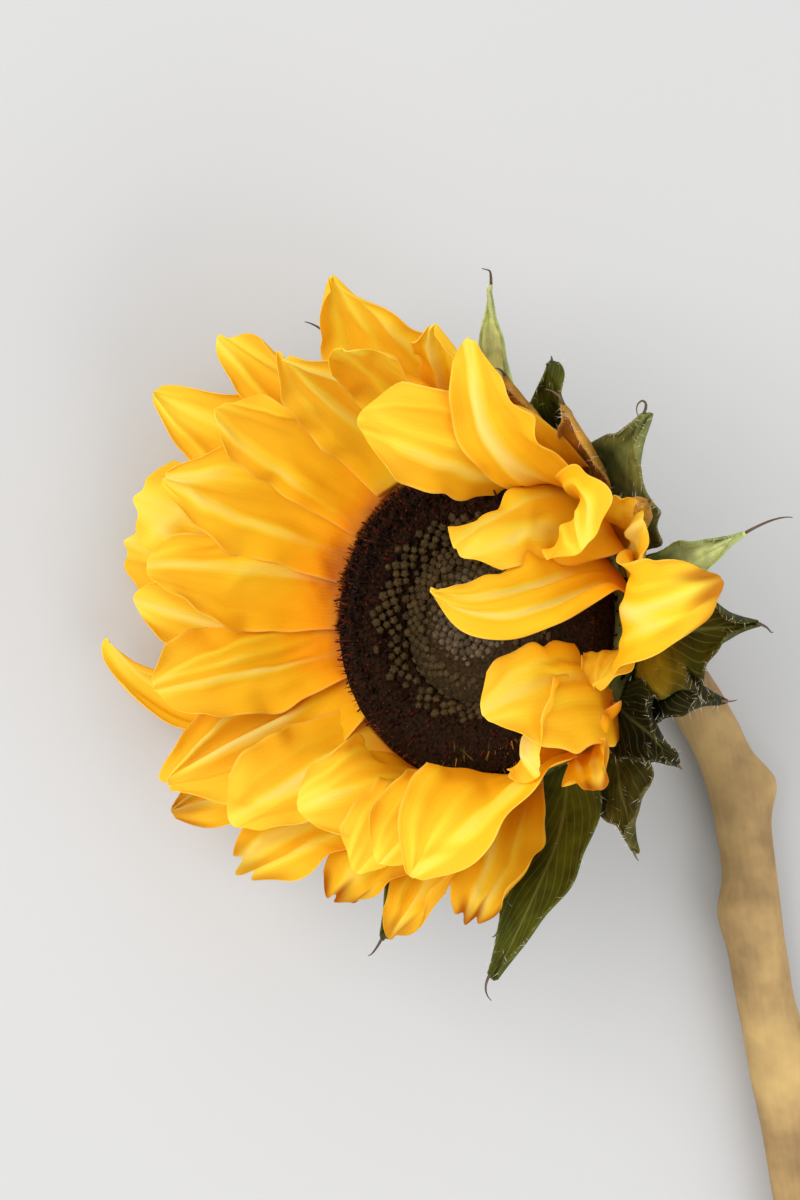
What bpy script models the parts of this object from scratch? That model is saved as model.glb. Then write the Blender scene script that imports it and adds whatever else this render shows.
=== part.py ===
"""Cut sunflower lying on a table: a bent stem, and a nodding head of petals and bracts."""
import math

import bmesh
import bpy
import numpy as np

# Lengths are in millimetres and angles in degrees until the meshes are made.
METRES_PER_MM = 0.001
SEAT_GAP = 0.3

# The head has a frame of its own: its origin is the middle of the disc's face, its third
# axis points out of the face, and its first axis points to the highest point of the rim.
# Angles round the head start there, anticlockwise for someone who looks at the face.
FACE_ELEVATION = 41.3
FACE_HEADING = -10.5
FACE_HEIGHT = 41.3

# Side of the receptacle from the neck up to the disc, then the disc's edge: radius, height.
RECEPTACLE_SIDE = ((8.6, -22.0), (13.0, -20.9), (19.0, -18.2), (24.5, -14.2),
                   (28.2, -9.6), (29.8, -5.6), (30.0, -3.4), (30.0, -1.2))
DISC_EDGE = ((28.8, 0.0), (28.8, 1.5), (27.5, 4.0), (24.0, 5.5))
RING_SECTION = ((14.8, -0.9), (28.4, -0.9), *DISC_EDGE[1:], (19.0, 4.5), (14.8, 1.5))
CENTRE_SECTION = ((14.5, -0.9), (14.5, 0.8), (10.0, 1.2), (5.0, 0.2))
HEAD_SIDES = 40

# Middle line of the stem from the neck to the cut end: x, y, z and the stem's radius there.
STEM_LINE = ((3.0, 16.5, 26.5, 8.4), (5.0, 27.0, 16.8, 6.6), (9.5, 38.5, 9.4, 5.8),
             (18.0, 47.6, 6.7, 5.5), (30.0, 53.0, 6.3, 5.1), (42.0, 55.6, 6.3, 5.5),
             (54.0, 55.8, 6.2, 5.3), (66.0, 54.8, 6.3, 5.9), (80.0, 55.0, 6.2, 5.6),
             (95.0, 55.6, 6.3, 5.8), (112.0, 56.0, 6.2, 5.4), (130.0, 56.2, 6.2, 5.5),
             (150.0, 56.4, 6.3, 6.0), (172.0, 56.8, 6.2, 5.5), (196.0, 57.6, 6.3, 5.9),
             (220.0, 58.6, 6.2, 5.5), (244.0, 59.8, 6.3, 6.0), (268.0, 61.0, 6.2, 5.6),
             (290.0, 62.4, 6.3, 5.7))
STEM_SIDES = 20
STEM_STEPS = 132
CUT_SLANT = 28.0

# Stubs where leaves were stripped: x, direction round the stem (90 is up), height.
STUBS = ((41.0, 175.0, 2.8), (64.0, 10.0, 1.4), (92.0, 165.0, 1.2), (99.0, 190.0, 2.6),
         (150.0, 20.0, 2.4), (196.0, 160.0, 2.6), (244.0, 60.0, 2.2))
STUB_LENGTH = 4.2

PETAL_THICKNESS = 0.6
PETAL_GRID = (9, 4)
PETAL_OUTLINE = (0.28, 0.58, 0.86, 1.0, 0.97, 0.72, 0.1)
BRACT_THICKNESS = 0.9
BRACT_GRID = (7, 2)
BRACT_OUTLINE = (0.6, 0.95, 1.0, 0.78, 0.45, 0.2, 0.08)

# Heights on the receptacle's side where the whorls of petals and of bracts are rooted.
INNER, OUTER = -2.0, -4.3
UPPER, LOWER = -7.2, -11.4

# One row for each petal: angle round the rim, whorl, (length, width), and then from root
# to tip its lean towards the face, its sway round the rim, its twist, and its roll.
PETALS = (
    (106, OUTER, (43, 22), (26, 40, 50, 50), (-6, -16), (8, 8), (40, 30, 60)),
    (90, OUTER, (38, 18), (38, 54, 60, 64), (-20, -40), (8, 8), (40, 40, 60)),
    (100, INNER, (38, 17), (46, 60, 66, 84), (-6, -16), (6, 6), (40, 60, 90)),
    (58, INNER, (42, 19), (82, 72, 58, 40), (44, 78, 100, 112), (0, 0), (40, 20, 60)),
    (47, INNER, (44, 12), (88, 64, 40, 36), (0, 60, 36, 26), (0, 0), (40, 60, 60)),
    (117, INNER, (37, 18), (40, 54, 62, 64), (-6, -16), (6, 6), (30, 40, 60)),
    (126, OUTER, (44, 15), (28, 38, 44, 42), (2, -4), (8, 8), (40, 110, 150)),
    (142, OUTER, (47, 20), (26, 34, 40, 38), (2, -6), (8, 8), (30, 30, 60)),
    (158, OUTER, (43, 20), (22, 32, 38, 36), (0, 0), (8, 8), (30, 30, 60)),
    (173, OUTER, (44, 18), (10, 26, 36, 34), (-10, -15), (8, 8), (30, 30, 60)),
    (134, INNER, (36, 17), (36, 48, 54, 58), (0, -4), (6, 6), (30, 40, 60)),
    (150, INNER, (38, 19), (34, 44, 50, 56), (2, 2), (6, 6), (30, 40, 60)),
    (167, INNER, (37, 18), (36, 46, 52, 60), (0, 6), (6, 18), (30, 40, 60)),
    (187, OUTER, (41, 16), (30, 42, 46, 44), (-20, -32), (10, 10), (30, 30, 60)),
    (200, OUTER, (52, 12), (18, 32, 40, 44), (-6, -10, -50, -110), (8, 12), (40, 150, 280)),
    (184, INNER, (37, 19), (38, 50, 55, 60), (14, 22), (6, 6), (30, 30, 70)),
    (199, INNER, (39, 21), (34, 44, 48, 50), (18, 24), (6, 6), (30, 30, 60)),
    (215, OUTER, (41, 18), (22, 34, 42, 40), (-4, -8), (8, 8), (30, 30, 60)),
    (224, INNER, (34, 20), (56, 64, 50, 30), (0, 0), (6, 6), (30, 50, 60)),
    (236, OUTER, (40, 18), (32, 50, 56, 54), (-5, -12), (8, 8), (30, 40, 60)),
    (250, INNER, (33, 19), (96, 92, 50, 14), (-5, -20, -45, -55), (0, 0), (20, 30, 50)),
    (251, OUTER, (33, 18), (32, 46, 52, 50), (0, 0), (8, 8), (30, 40, 60)),
    (265, INNER, (34, 17), (88, 84, 46, 16), (0, -30), (0, 0), (20, 60, 90)),
    (265, OUTER, (35, 14), (30, 42, 48, 46), (2, -6), (8, 14), (40, 90, 120)),
    (281, OUTER, (30, 15), (24, 34, 44, 45), (2, -22), (0, 0), (35, 40, 60)),
    (280, INNER, (38, 18), (90, 88, 56, 30), (-10, -40), (0, 0), (20, 60, 90)),
    (300, INNER, (45, 25), (90, 84, 50, 24), (-10, -24, -46, -56), (0, 0), (20, 60, 60)),
    (320, INNER, (31, 18), (91, 92, 62, 22), (0, -12), (0, 24), (25, 75, 90)),
    (334, INNER, (36, 20), (78, 90, 108, 118), (45, 65), (0, 0), (40, 20, 20)),
    (351, OUTER, (16, 11), (80, 70, 50, 30), (-10, -60, -90, -100), (0, 0), (20, 40, 40)),
    (322, OUTER, (25, 12), (53, 58, 52, 40), (0, -10), (0, 0), (60, 150, 200)),
    (14, INNER, (45, 14), (84, 106, 118, 126), (24, 44, 8, -75), (0, 0), (20, 50, 60)),
    (39, INNER, (35, 13), (101, 101, 110, 122), (4, 24), (-7, -7), (35, 85, 115)),
    (20, OUTER, (20, 10), (30, 60, 44, 12), (0, 4), (0, 0), (20, 65, 90)),
    (1, OUTER, (44, 21), (68, 60, 20, 4), (0, -5, 8, 16), (-6, 0), (20, 30, 30)),
    (31, OUTER, (32, 12), (62, 84, 52, 20), (12, 5, -70, -90), (0, 0), (20, 60, 60)),
)

# The bracts behind them, in the same way.
BRACTS = (
    (86, UPPER, (36, 10), (6, 33, 37, 40), (-11, -24), (0, 0), (35, 60, 60)),
    (69, UPPER, (26, 11), (28, 54, 62, 60), (-4, 0), (0, 0), (30, 60, 60)),
    (61, LOWER, (28, 17), (8, 50, 44, 30), (6, 8), (0, 0), (30, 50, 50)),
    (47, UPPER, (29, 12), (24, 56, 62, 60), (6, 12), (0, 0), (30, 60, 60)),
    (35, LOWER, (31, 21), (13, 49, 40, 20), (10, 12), (5, 5), (40, 40, 50)),
    (25, UPPER, (24, 12), (24, 48, 52, 50), (-4, -4), (0, 0), (30, 60, 60)),
    (9, LOWER, (28, 12), (10, 20, 16, 12), (8, 12), (0, 0), (30, 50, 60)),
    (354, UPPER, (31, 22), (20, 24, 20, 16), (6, 8), (0, 0), (20, 20, 40)),
    (339, LOWER, (28, 17), (-1, 33, 31, 28), (8, 10), (0, -10), (40, 80, 80)),
    (328, UPPER, (24, 14), (16, 30, 36, 26), (0, 6), (0, 0), (30, 60, 60)),
    (315, LOWER, (27, 14), (-4, 29, 31, 29), (-14, -16), (0, 0), (30, 50, 60)),
    (300, UPPER, (43, 16), (10, 36, 39, 40), (-26, -42), (0, 0), (30, 60, 60)),
    (280, LOWER, (30, 20), (10, 30, 38, 36), (-4, -6), (0, 0), (30, 40, 40)),
    (255, UPPER, (33, 20), (10, 28, 36, 34), (0, 0), (0, 0), (30, 40, 40)),
    (230, LOWER, (31, 21), (8, 24, 32, 30), (0, 0), (0, 0), (30, 40, 40)),
    (205, UPPER, (29, 21), (6, 18, 24, 22), (0, 0), (0, 0), (30, 40, 40)),
    (181, LOWER, (30, 21), (6, 20, 30, 32), (0, 0), (0, 0), (30, 40, 40)),
    (156, UPPER, (29, 21), (6, 18, 24, 24), (0, 0), (0, 0), (30, 40, 40)),
    (131, LOWER, (31, 20), (6, 20, 28, 26), (0, 0), (0, 0), (30, 40, 40)),
    (108, UPPER, (33, 18), (10, 28, 34, 34), (12, 16), (0, 0), (30, 40, 40)),
)
BLADE_FIELDS = ("angle", "root", "size", "lean", "sway", "twist", "roll")

# Colour and roughness of each material.
MATERIALS = {
    "receptacle": ((0.10, 0.09, 0.02), 0.75),
    "florets_dark": ((0.013, 0.005, 0.003), 0.85),
    "florets_grey": ((0.05, 0.03, 0.016), 0.85),
    "petal": ((0.93, 0.44, 0.02), 0.6),
    "bract": ((0.08, 0.08, 0.01), 0.65),
    "stem": ((0.30, 0.19, 0.07), 0.7),
}
SHARP_ANGLE = 50.0


def along(values, t):
    """Read evenly spaced values as a smooth curve, for t from 0 to 1."""
    values = np.asarray(values, float)
    if len(values) == 2:
        return values[0] + (values[1] - values[0]) * t
    first, last = 2 * values[0] - values[1], 2 * values[-1] - values[-2]
    knots = np.concatenate(([first], values, [last]))
    place = t * (len(values) - 1)
    index = np.minimum(place.astype(int), len(values) - 2)
    f = place - index
    a, b, c, d = (knots[index + i] for i in range(4))
    return b + 0.5 * f * (c - a + f * (2 * a - 5 * b + 4 * c - d + f * (3 * (b - c) + d - a)))


def unit(vectors):
    return vectors / np.linalg.norm(vectors, axis=-1, keepdims=True)


def head_axes():
    """The head's three axes, as rows, in the table's frame."""
    elevation, heading = math.radians(FACE_ELEVATION), math.radians(FACE_HEADING)
    flat = np.array((math.sin(heading), -math.cos(heading), 0.0))
    upright = np.array((0.0, 0.0, 1.0))
    out = math.cos(elevation) * flat + math.sin(elevation) * upright
    rim_top = unit(upright - out[2] * out)
    return np.array((rim_top, np.cross(out, rim_top), out))


def from_head(points):
    """Move points from the head's frame to the table's."""
    return np.asarray(points) @ head_axes() + np.array((0.0, 0.0, FACE_HEIGHT))


def new_object(name, points, faces):
    mesh = bpy.data.meshes.new(name)
    mesh.from_pydata((np.asarray(points) * METRES_PER_MM).tolist(), [], faces)
    shape = bmesh.new()
    shape.from_mesh(mesh)
    bmesh.ops.recalc_face_normals(shape, faces=shape.faces)
    shape.to_mesh(mesh)
    shape.free()
    mesh.shade_smooth()
    mesh.set_sharp_from_angle(angle=math.radians(SHARP_ANGLE))
    made = bpy.data.objects.new(name, mesh)
    bpy.context.scene.collection.objects.link(made)
    return made


def ring_faces(rings, sides, closed):
    """Quads between rings of points that follow each other, back to the first if closed."""
    faces = []
    for ring in range(rings if closed else rings - 1):
        after = (ring + 1) % rings
        for side in range(sides):
            beside = (side + 1) % sides
            near, far = ring * sides, after * sides
            faces.append((near + side, near + beside, far + beside, far + side))
    return faces


def end_caps(rings, sides):
    """Fans from two middle points, stored after the rings, to the first and last rings."""
    first, last = rings * sides, rings * sides + 1
    start = (rings - 1) * sides
    faces = []
    for side in range(sides):
        beside = (side + 1) % sides
        faces.append((first, beside, side))
        faces.append((last, start + side, start + beside))
    return faces


def turned(name, section, is_ring=False):
    """Solid turned about the face's axis from (radius, height) points."""
    angles = np.linspace(0, 2 * math.pi, HEAD_SIDES, endpoint=False)
    points = [(r * math.cos(a), r * math.sin(a), height) for r, height in section for a in angles]
    faces = ring_faces(len(section), HEAD_SIDES, is_ring)
    if not is_ring:
        points += [(0, 0, section[0][1]), (0, 0, section[-1][1])]
        faces += end_caps(len(section), HEAD_SIDES)
    return new_object(name, from_head(points), faces)


def stub_swell(line, angles):
    """How far the stripped leaf stubs stand out of the stem."""
    swell = np.zeros((len(line), len(angles)))
    for place, direction, height in STUBS:
        lengthwise = np.exp(-((line[:, 0] - place) / STUB_LENGTH) ** 2)
        sideways = np.maximum(np.cos(angles - math.radians(direction)), 0) ** 2
        swell += height * lengthwise[:, None] * sideways
    return swell


def make_stem():
    """Sweep the stem along its middle line and cut its far end at a slant."""
    t = np.linspace(0, 1, STEM_STEPS + 1)
    x, y, z, radius = (along(values, t) for values in zip(*STEM_LINE))
    line = np.stack((x, y, z), 1)
    run = unit(np.gradient(line, axis=0))
    side = unit(np.cross(run, (0, 0, 1)))
    up = np.cross(side, run)
    angles = np.linspace(0, 2 * math.pi, STEM_SIDES, endpoint=False)
    reach = radius[:, None] + stub_swell(line, angles)
    across = reach[..., None] * side[:, None] * np.cos(angles)[:, None]
    rise = reach[..., None] * up[:, None] * np.sin(angles)[:, None]
    rings = line[:, None] + across + rise
    slant = math.tan(math.radians(CUT_SLANT)) * radius[-1] * np.sin(angles)
    rings[-1] -= run[-1] * slant[:, None]
    points = np.concatenate((rings.reshape(-1, 3), line[:1], line[-1:]))
    faces = ring_faces(len(line), STEM_SIDES, False) + end_caps(len(line), STEM_SIDES)
    return new_object("stem", points, faces)


def headings(lean, sway, t):
    """Direction that a blade's midrib takes at each t."""
    lean, sway = np.radians(along(lean, t)), np.radians(along(sway, t))
    return np.stack((np.cos(lean) * np.cos(sway), np.cos(lean) * np.sin(sway), np.sin(lean)), 1)


def seat(grid, normals, thickness):
    """Slide a blade along its radius until its foot just clears the receptacle and the disc."""
    offset = normals * thickness / 2
    skin = np.concatenate((grid + offset, grid - offset)).reshape(-1, 3)
    radii, heights = zip(*(RECEPTACLE_SIDE + DISC_EDGE))
    wall = np.interp(skin[:, 2], heights, radii, left=0, right=0)
    reach = np.sqrt(np.maximum((wall + SEAT_GAP) ** 2 - skin[:, 1] ** 2, 0))
    grid[..., 0] += np.max((reach - skin[:, 0])[wall > 0])


def blade_surface(blade, outline, grid_size, thickness):
    """Grid of points over the middle of a blade, in the table's frame, with its normals."""
    rows, columns = grid_size
    length, width = blade["size"]
    t = np.linspace(0, 1, rows + 1)
    steps = headings(blade["lean"], blade["sway"], (t[1:] + t[:-1]) / 2) * length / rows
    midrib = np.vstack(((0, 0, 0), np.cumsum(steps, 0))) + np.array((0, 0, blade["root"]))
    sway, twist = np.radians(along(blade["sway"], t)), np.radians(along(blade["twist"], t))[:, None]
    level = np.stack((-np.sin(sway), np.cos(sway), 0 * t), 1)
    face = np.cross(headings(blade["lean"], blade["sway"], t), level)
    side = level * np.cos(twist) + face * np.sin(twist)
    front = face * np.cos(twist) - level * np.sin(twist)
    half = width / 2 * along(outline, t)[:, None]
    bend = np.radians(along(blade["roll"], t))[:, None] / 2
    v = np.linspace(-1, 1, columns + 1)
    across = half * np.sin(bend * v) / bend
    rise = half * (1 - np.cos(bend * v)) / bend
    grid = midrib[:, None] + side[:, None] * across[..., None] + front[:, None] * rise[..., None]
    normals = unit(np.cross(np.gradient(grid, axis=0), np.gradient(grid, axis=1)))
    seat(grid, normals, thickness)
    angle = math.radians(blade["angle"])
    cosine, sine = math.cos(angle), math.sin(angle)
    spin = np.array(((cosine, sine, 0), (-sine, cosine, 0), (0, 0, 1)))
    return from_head(grid @ spin), normals @ spin @ head_axes()


def make_blade(name, row, outline, grid_size, thickness):
    """Petal or bract: a thin closed sheet on both sides of its middle surface."""
    grid, normals = blade_surface(dict(zip(BLADE_FIELDS, row)), outline, grid_size, thickness)
    rows, columns = grid.shape[:2]
    offset = normals * thickness / 2
    points = np.concatenate((grid + offset, grid - offset)).reshape(-1, 3)
    index = np.arange(rows * columns).reshape(rows, columns)
    back = rows * columns
    faces = []
    corners = (index[:-1, :-1], index[:-1, 1:], index[1:, 1:], index[1:, :-1])
    for a, b, c, d in zip(*(corner.flat for corner in corners)):
        faces.append((a, d, c, b))
        faces.append((a + back, b + back, c + back, d + back))
    edge = np.concatenate((index[0, :-1], index[:-1, -1], index[-1, :0:-1], index[:0:-1, 0]))
    for a, b in zip(edge, np.roll(edge, -1)):
        faces.append((a, b, b + back, a + back))
    return new_object(name, points, [tuple(int(i) for i in face) for face in faces])


def paint(thing, name):
    """Give an object a plain material, shared by every object that asks for the same name."""
    colour, roughness = MATERIALS[name]
    made = bpy.data.materials.get(name) or bpy.data.materials.new(name)
    made.use_nodes = True
    shader = made.node_tree.nodes["Principled BSDF"]
    shader.inputs["Base Color"].default_value = (*colour, 1.0)
    shader.inputs["Roughness"].default_value = roughness
    shader.inputs["Metallic"].default_value = 0.0
    thing.data.materials.append(made)


def make_head():
    """Receptacle, disc, petals and bracts."""
    paint(turned("receptacle", RECEPTACLE_SIDE), "receptacle")
    paint(turned("disc_ring", RING_SECTION, is_ring=True), "florets_dark")
    paint(turned("disc_centre", CENTRE_SECTION), "florets_grey")
    for number, row in enumerate(PETALS, 1):
        petal = make_blade(f"petal_{number:02d}", row, PETAL_OUTLINE, PETAL_GRID, PETAL_THICKNESS)
        paint(petal, "petal")
    for number, row in enumerate(BRACTS, 1):
        bract = make_blade(f"bract_{number:02d}", row, BRACT_OUTLINE, BRACT_GRID, BRACT_THICKNESS)
        paint(bract, "bract")


def stand_on_origin():
    """Put the middle of the flower's footprint at the origin, and its lowest point on the table."""
    corners = np.array([vertex.co for thing in bpy.data.objects for vertex in thing.data.vertices])
    low, high = corners.min(0), corners.max(0)
    shift = (-(low[0] + high[0]) / 2, -(low[1] + high[1]) / 2, -low[2])
    for thing in bpy.data.objects:
        thing.location = shift


def main():
    for thing in list(bpy.data.objects):
        bpy.data.objects.remove(thing)
    make_head()
    paint(make_stem(), "stem")
    stand_on_origin()


main()
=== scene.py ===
import math

import bpy
import numpy as np
from mathutils import Matrix, Vector, noise


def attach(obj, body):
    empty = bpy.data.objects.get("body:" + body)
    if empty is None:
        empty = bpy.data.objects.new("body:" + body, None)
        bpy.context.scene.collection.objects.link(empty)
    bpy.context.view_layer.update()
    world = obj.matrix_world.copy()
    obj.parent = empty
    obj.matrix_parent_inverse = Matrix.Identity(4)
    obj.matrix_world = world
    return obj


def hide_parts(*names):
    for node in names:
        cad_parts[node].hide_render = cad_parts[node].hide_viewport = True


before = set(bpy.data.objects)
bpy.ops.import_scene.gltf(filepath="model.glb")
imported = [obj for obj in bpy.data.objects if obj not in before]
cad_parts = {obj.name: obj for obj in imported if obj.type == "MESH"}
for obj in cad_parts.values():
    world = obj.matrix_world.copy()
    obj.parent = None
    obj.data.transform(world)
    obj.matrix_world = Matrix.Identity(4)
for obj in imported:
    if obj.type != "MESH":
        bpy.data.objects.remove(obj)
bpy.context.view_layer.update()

# Lengths are in millimetres and angles in degrees, unless a note says otherwise.
mm = 0.001


def unit(vectors):
    return vectors / np.linalg.norm(vectors, axis=-1, keepdims=True)


def smoothStep(low, high, x):
    s = np.clip((x - low) / (high - low), 0, 1)
    return s * s * (3 - 2 * s)


def linearColour(hexColour):
    # sRGB hex to the linear values that a shader takes
    parts = [int(hexColour[i:i + 2], 16) / 255 for i in (1, 3, 5)]
    return tuple(c / 12.92 if c <= 0.04045 else ((c + 0.055) / 1.055) ** 2.4 for c in parts) + (1.0,)


def meshPoints(mesh):
    flat = np.empty(len(mesh.vertices) * 3)
    mesh.vertices.foreach_get("co", flat)
    return flat.reshape(-1, 3)


def setPoints(mesh, points):
    mesh.vertices.foreach_set("co", np.asarray(points, np.float32).ravel())
    mesh.update()


def pick(thing):
    bpy.ops.object.select_all(action="DESELECT")
    thing.select_set(True)
    bpy.context.view_layer.objects.active = thing


def applyModifier(thing, kind, **settings):
    pick(thing)
    modifier = thing.modifiers.new(kind.title(), kind)
    for name, value in settings.items():
        setattr(modifier, name, value)
    bpy.ops.object.modifier_apply(modifier=modifier.name)


def paintPoints(mesh, name, colours):
    layer = mesh.attributes.new(name, "FLOAT_COLOR", "POINT")
    layer.data.foreach_set("color", np.asarray(colours, np.float32).ravel())


def coat(piece, *materials):
    piece.data.materials.clear()
    for material in materials:
        piece.data.materials.append(material)


def newObject(name, data):
    thing = bpy.data.objects.new(name, data)
    bpy.context.scene.collection.objects.link(thing)
    return thing


def meshPiece(name, points, faces):
    # points in metres
    mesh = bpy.data.meshes.new(name)
    mesh.from_pydata(points.tolist(), [], faces)
    return newObject(name, mesh)


def dress(piece, material, slot, *nodes):
    coat(piece, material)
    piece.data.shade_smooth()
    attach(piece, "root")
    if nodes:
        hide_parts(*nodes)


def setInputs(tree, node, inputs):
    # a socket is linked, and a number or a hex colour is set as the input's own value
    for name, value in inputs.items():
        if isinstance(value, bpy.types.NodeSocket):
            tree.links.new(value, node.inputs[name])
        else:
            node.inputs[name].default_value = linearColour(value) if isinstance(value, str) else value


def addNode(tree, kind, inputs=None, **settings):
    node = tree.nodes.new("ShaderNode" + kind)
    for name, value in settings.items():
        setattr(node, name, value)
    setInputs(tree, node, inputs or {})
    return node


def newMaterial(name):
    material = bpy.data.materials.new(name)
    material.use_nodes = True
    tree = material.node_tree
    return material, tree, tree.nodes["Principled BSDF"]


def fillRamp(node, stops):
    ramp = node.color_ramp
    while len(ramp.elements) < len(stops):
        ramp.elements.new(0.5)
    for element, (place, hexColour) in zip(ramp.elements, stops):
        element.position = place
        element.color = linearColour(hexColour)
    return node.outputs["Color"]


# Where the head is. Its receptacle and disc are turned about one axis, so their middles lie
# on it. Head coordinates run towards the rim's highest point, across the face, and out of it.
ringHeight = 5.5      # of the disc's ring over the plane that the head is measured from


def nodePoints(name):
    return meshPoints(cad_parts[name].data) / mm


def findHead():
    ring, cup = nodePoints("disc_ring"), nodePoints("receptacle")
    out = unit(ring.mean(0) - cup.mean(0))
    rimTop = unit(np.array((0.0, 0.0, 1.0)) - out[2] * out)
    axes = np.array((rimTop, np.cross(out, rimTop), out))
    face = (ring @ out).max() - ringHeight
    return ring.mean(0) + out * (face - ring.mean(0) @ out), axes


headOrigin, headAxes = findHead()
print("head found at", headOrigin.round(2), "facing", headAxes[2].round(3))


def fromHead(points):
    return (points @ headAxes + headOrigin) * mm


def toHead(points):
    return (points - headOrigin) @ headAxes.T


def cupRadius(height):
    # radius of the receptacle's side at a height in head coordinates
    cup = toHead(nodePoints("receptacle"))
    radii = np.hypot(cup[:, 0], cup[:, 1])
    side = np.unique(np.stack((cup[:, 2], radii), 1).round(2)[radii > 1], axis=0)
    return float(np.interp(height, side[:, 0], side[:, 1]))


# A petal or bract grows from the receptacle along a midrib. Lean tilts it from the rim's plane
# towards the face, sway turns it round the rim, twist turns it about the midrib, and roll is
# how far its two edges curl towards each other. Each runs from root to tip.

def along(values, t):
    values = np.asarray(values, float)
    if len(values) == 2:
        return values[0] + (values[1] - values[0]) * t
    knots = np.concatenate(([2 * values[0] - values[1]], values, [2 * values[-1] - values[-2]]))
    place = np.clip(t, 0, 1) * (len(values) - 1)
    index = np.minimum(place.astype(int), len(values) - 2)
    f = place - index
    a, b, c, d = (knots[index + i] for i in range(4))
    return b + 0.5 * f * (c - a + f * (2 * a - 5 * b + 4 * c - d + f * (3 * (b - c) + d - a)))


def headings(blade, t):
    lean, sway = np.radians(along(blade["lean"], t)), np.radians(along(blade["sway"], t))
    return np.stack((np.cos(lean) * np.cos(sway), np.cos(lean) * np.sin(sway), np.sin(lean)), -1)


midribSteps = 240
ladder = np.linspace(0, 1, midribSteps + 1)


def midribPoints(blade, t):
    steps = headings(blade, (ladder[1:] + ladder[:-1]) / 2) * blade["length"] / midribSteps
    line = np.vstack(((0, 0, 0), np.cumsum(steps, 0)))
    points = np.stack([np.interp(t, ladder, line[:, i]) for i in range(3)], -1)
    return points + (cupRadius(blade["root"]) + blade["clear"], 0, blade["root"])


def bladeSheet(blade, t, v):
    # points of the blade's middle surface: t runs from root to tip, and v from edge to edge
    sway, twist = np.radians(along(blade["sway"], t)), np.radians(along(blade["twist"], t))[..., None]
    level = np.stack((-np.sin(sway), np.cos(sway), 0 * t), -1)
    face = np.cross(headings(blade, t), level)
    side = level * np.cos(twist) + face * np.sin(twist)
    front = face * np.cos(twist) - level * np.sin(twist)
    half = blade["width"] / 2 * blade["outline"](t, v)
    bend = np.radians(along(blade["roll"], t)) / 2
    across = half * np.sin(bend * v) / bend
    rise = half * (1 - np.cos(bend * v)) / bend
    return blade["midrib"](t) + side * across[..., None] + front * rise[..., None]


def bladePoints(blade, t, v, relief):
    # the sheet moved along its normal by the relief
    step = 0.012
    low, high = np.clip(t - step, 0, 1), np.clip(t + step, 0, 1)
    lengthwise = bladeSheet(blade, high, v) - bladeSheet(blade, low, v)
    sideways = bladeSheet(blade, t, v + step) - bladeSheet(blade, t, v - step)
    normals = np.cross(lengthwise, sideways)
    normals /= np.maximum(np.linalg.norm(normals, axis=-1, keepdims=True), 1e-9)
    points = bladeSheet(blade, t, v) + normals * relief[..., None]
    angle = math.radians(blade["angle"])
    cosine, sine = math.cos(angle), math.sin(angle)
    return points @ np.array(((cosine, sine, 0), (-sine, cosine, 0), (0, 0, 1)))


def bladeGrid(name, columns, rows):
    # a flat grid, one unit each way from its middle, whose UV map follows the blade
    bpy.ops.mesh.primitive_grid_add(x_subdivisions=columns, y_subdivisions=rows, size=2)
    sheet = bpy.context.active_object
    sheet.name = sheet.data.name = name
    return sheet, meshPoints(sheet.data)


# heights of the whorls of petals, and of bracts, on the receptacle
inner, outer, upper, lower = -2.0, -4.3, -7.2, -11.4
bladeFields = ("angle", "root", "size", "lean", "sway", "twist", "roll")

petalShape = {
    "columns": 36, "rows": 80, "thickness": 0.14, "clear": 0.0,
    "rootWidth": 0.85, "widest": 0.5, "shoulder": 1.9, "tipRound": 1.15, "tip": "round",
    "skew": 0.1, "edgeWave": 0.05, "pleats": 5, "pleatDepth": 0.95, "pleatWidth": 0.11,
    "ruffle": 0.9, "billow": 0.8, "folds": 3, "foldDepth": 0.55, "foldWidth": 0.045, "rim": 0.4,
    "wither": 0.0, "ripe": 0.5, "lift": 0.0, "spread": 1.0,
}

# width left at the very tip, how far its corners fall back, and the depth of its teeth
petalTips = {"point": (0.03, 0.02, 0.0), "round": (0.4, 0.15, 0.0), "blunt": (0.62, 0.1, 0.012),
             "notched": (0.42, 0.1, 0.03)}

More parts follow.
